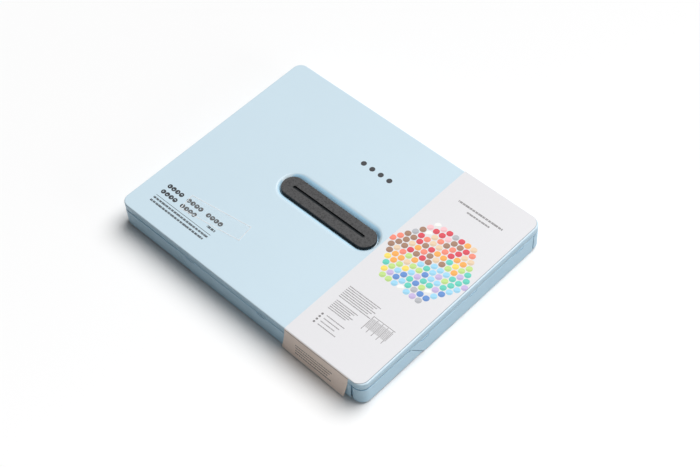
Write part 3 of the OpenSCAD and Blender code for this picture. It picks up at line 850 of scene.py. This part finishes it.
def printed_card():
    """Coated board, white with a buff flap: a faint fibre mottle, a soft sheen, and the print,
    with painted shade as a darker line along the fold and a grey line along the top's right cut.
    The flap's left and lower cuts show the board's white."""
    finish = Finish("card", IOR=1.45)
    flat = finish.node("Attribute", {"attribute_name": "flat"}, {}, "Vector")
    x = finish.node("SeparateXYZ", {}, {0: flat})
    y = finish.node("SeparateXYZ", {}, {0: flat}, 1)
    to_edge = finish.node("SeparateXYZ", {}, {0: flat}, 2)
    mottle = finish.node("TexNoise", {}, {"Vector": flat, "Scale": 0.35, "Detail": 4})
    tone = mottle.mix(tuple(c * 0.97 for c in card_white[:3]) + (1,), card_white)
    tone = y.band(-box_h - 2, -0.5, 0.5).mix(tone, card_buff)
    fibre = finish.node("TexNoise", {}, {"Vector": flat, "Scale": 2.2, "Detail": 3})
    bump = finish.node("Bump", {}, {"Height": fibre, "Distance": 0.01 * MM})
    # Painted shade along the fold, on the flap just below it.
    tone = y.band(-1.9, -0.9, 0.4).mix(card_print(finish, x, y, tone), fold_shade)
    # Painted shade along the right cut of the card's top.
    tone = to_edge.band(-1, 0.4, 0.15).mix(tone, card_edge_shade)
    left_cut = to_edge.band(cut_mark - 1, cut_mark + 0.4, 0.1) * y.band(-box_h - 2, -1, 0.1)
    low_cut = y.band(-box_h, card_foot + 0.5 - box_h, 0.1)
    tone = finish.math("MAXIMUM", left_cut, low_cut).mix(tone, card_white)
    return finish.wire(Base_Color=tone, Roughness=0.38 + mottle * 0.1, Normal=bump)


card = piece("card_label", [card_faces], None, printed_card(), ["card_top", "card_front"],
             crease=60, values=("flat", "FLOAT_VECTOR", card_flat))
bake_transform(card)

# Tape. A strip of clear film stuck over the print at the front left, a few degrees askew. Only
# its cut edges, painted as a pale band that stands for a highlight, and a little extra gloss show.
tape_w, tape_d, tape_t, tape_lift = 90, 24.5, 0.15, 0.01
tape_tilt = math.radians(8.5)
tape_middle = (106 - box_w / 2, 58 - box_d / 2)
tape_edge = 0.9


def tape_grids():
    """A flat grid, turned by the strip's tilt, at the heights of its underside and its top."""
    u, v = np.meshgrid(np.linspace(-1, 1, 30), np.linspace(-1, 1, 12))
    x, y = u * tape_w / 2, v * tape_d / 2
    turned = [tape_middle[0] + x * math.cos(tape_tilt) - y * math.sin(tape_tilt),
              tape_middle[1] + x * math.sin(tape_tilt) + y * math.cos(tape_tilt)]
    return [np.stack([*turned, box_h + rise + 0 * x], -1) for rise in (tape_lift, tape_t)]


tape_finish = Finish("tape_film", IOR=1.47, Base_Color=(0.90, 0.93, 0.95, 1))
tape_place = tape_finish.node("Mapping", {"vector_type": "TEXTURE"}, {
    0: tape_finish.place, 1: (tape_middle[0] * MM, tape_middle[1] * MM, 0), 2: (0, 0, tape_tilt)})
edge_x, edge_y = [
    tape_finish.math("ABSOLUTE", tape_finish.node("SeparateXYZ", {}, {0: tape_place}, axis) * 1000)
    for axis in (0, 1)]
# Painted highlight: the film is paler and less clear in a band along its cut edges.
tape_edge_highlight = tape_finish.math("MAXIMUM", edge_x - (tape_w / 2 - tape_edge),
                            edge_y - (tape_d / 2 - tape_edge))
tape_film = tape_finish.wire(Alpha=0.05 + tape_edge_highlight.band(0, 1, 0.2) * 0.6,
                             Roughness=0.12 + tape_finish.noise(12) * 0.1,
                             Normal=tape_finish.grain(15, 0.03))
piece("tape_strip", [sheet(*tape_grids())], "lid", tape_film, ["clear_tape"])

# Stage. A white floor and an even white surround. One broad soft sun stands high behind the
# box, so that the front lies in its own soft shadow, and two weak lamps lift the right end and
# the near corner.
floor_reach = 8
floor_mesh = bpy.data.meshes.new("floor")
floor_corners = [(x * floor_reach, y * floor_reach, 0) for x, y in ((-1, -1), (1, -1), (1, 1), (-1, 1))]
floor_mesh.from_pydata(floor_corners, [], [(0, 1, 2, 3)])
floor = bpy.data.objects.new("floor", floor_mesh)
floor_finish = Finish("floor", Specular_IOR_Level=0.0, Roughness=1.0)
floor_seen = (0.95, 0.95, 0.95, 1)
floor_felt = (0.47, 0.47, 0.47, 1)
sky_light = 0.095


def shown(wire):
    """1 for the rays that show a background: camera, glossy and transmission rays."""
    rays = [wire.node("LightPath", {}, {}, f"Is {kind} Ray")
            for kind in ("Camera", "Glossy", "Transmission")]
    return wire.math("MINIMUM", rays[0] + rays[1] + rays[2], 1)


def lit_from(name, kind, energy, place):
    """A lamp at a place in metres, turned to the box."""
    lamp = bpy.data.objects.new(name, bpy.data.lights.new(name, kind))
    lamp.data.energy = energy
    lamp.location = place
    lamp.rotation_mode = "QUATERNION"
    lamp.rotation_quaternion = Vector(place).to_track_quat("Z", "Y")
    bpy.context.scene.collection.objects.link(lamp)
    return lamp.data


floor_tone = shown(floor_finish).mix(floor_felt, floor_seen)
floor_mesh.materials.append(floor_finish.wire(Base_Color=floor_tone))
bpy.context.scene.collection.objects.link(floor)

world = bpy.data.worlds.new("surround")
bpy.context.scene.world = world
world.use_nodes = True
sky = Wire(world.node_tree, None)
surround = world.node_tree.nodes["Background"]
surround.inputs["Color"].default_value = (1, 1, 1, 1)
sky_strength = shown(sky) * (1 - sky_light) + sky_light
world.node_tree.links.new(sky_strength.socket, surround.inputs["Strength"])

lit_from("key", "SUN", 3.35, (0.12, 0.57, 1.0)).angle = math.radians(50)
lit_from("fill_end", "POINT", 5.6, (1.0, 0.15, 0.30)).shadow_soft_size = 0.25
lit_from("fill_corner", "POINT", 0.85, (0.36, -0.62, 0.08)).shadow_soft_size = 0.06

bpy.context.scene.view_settings.view_transform = "Standard"
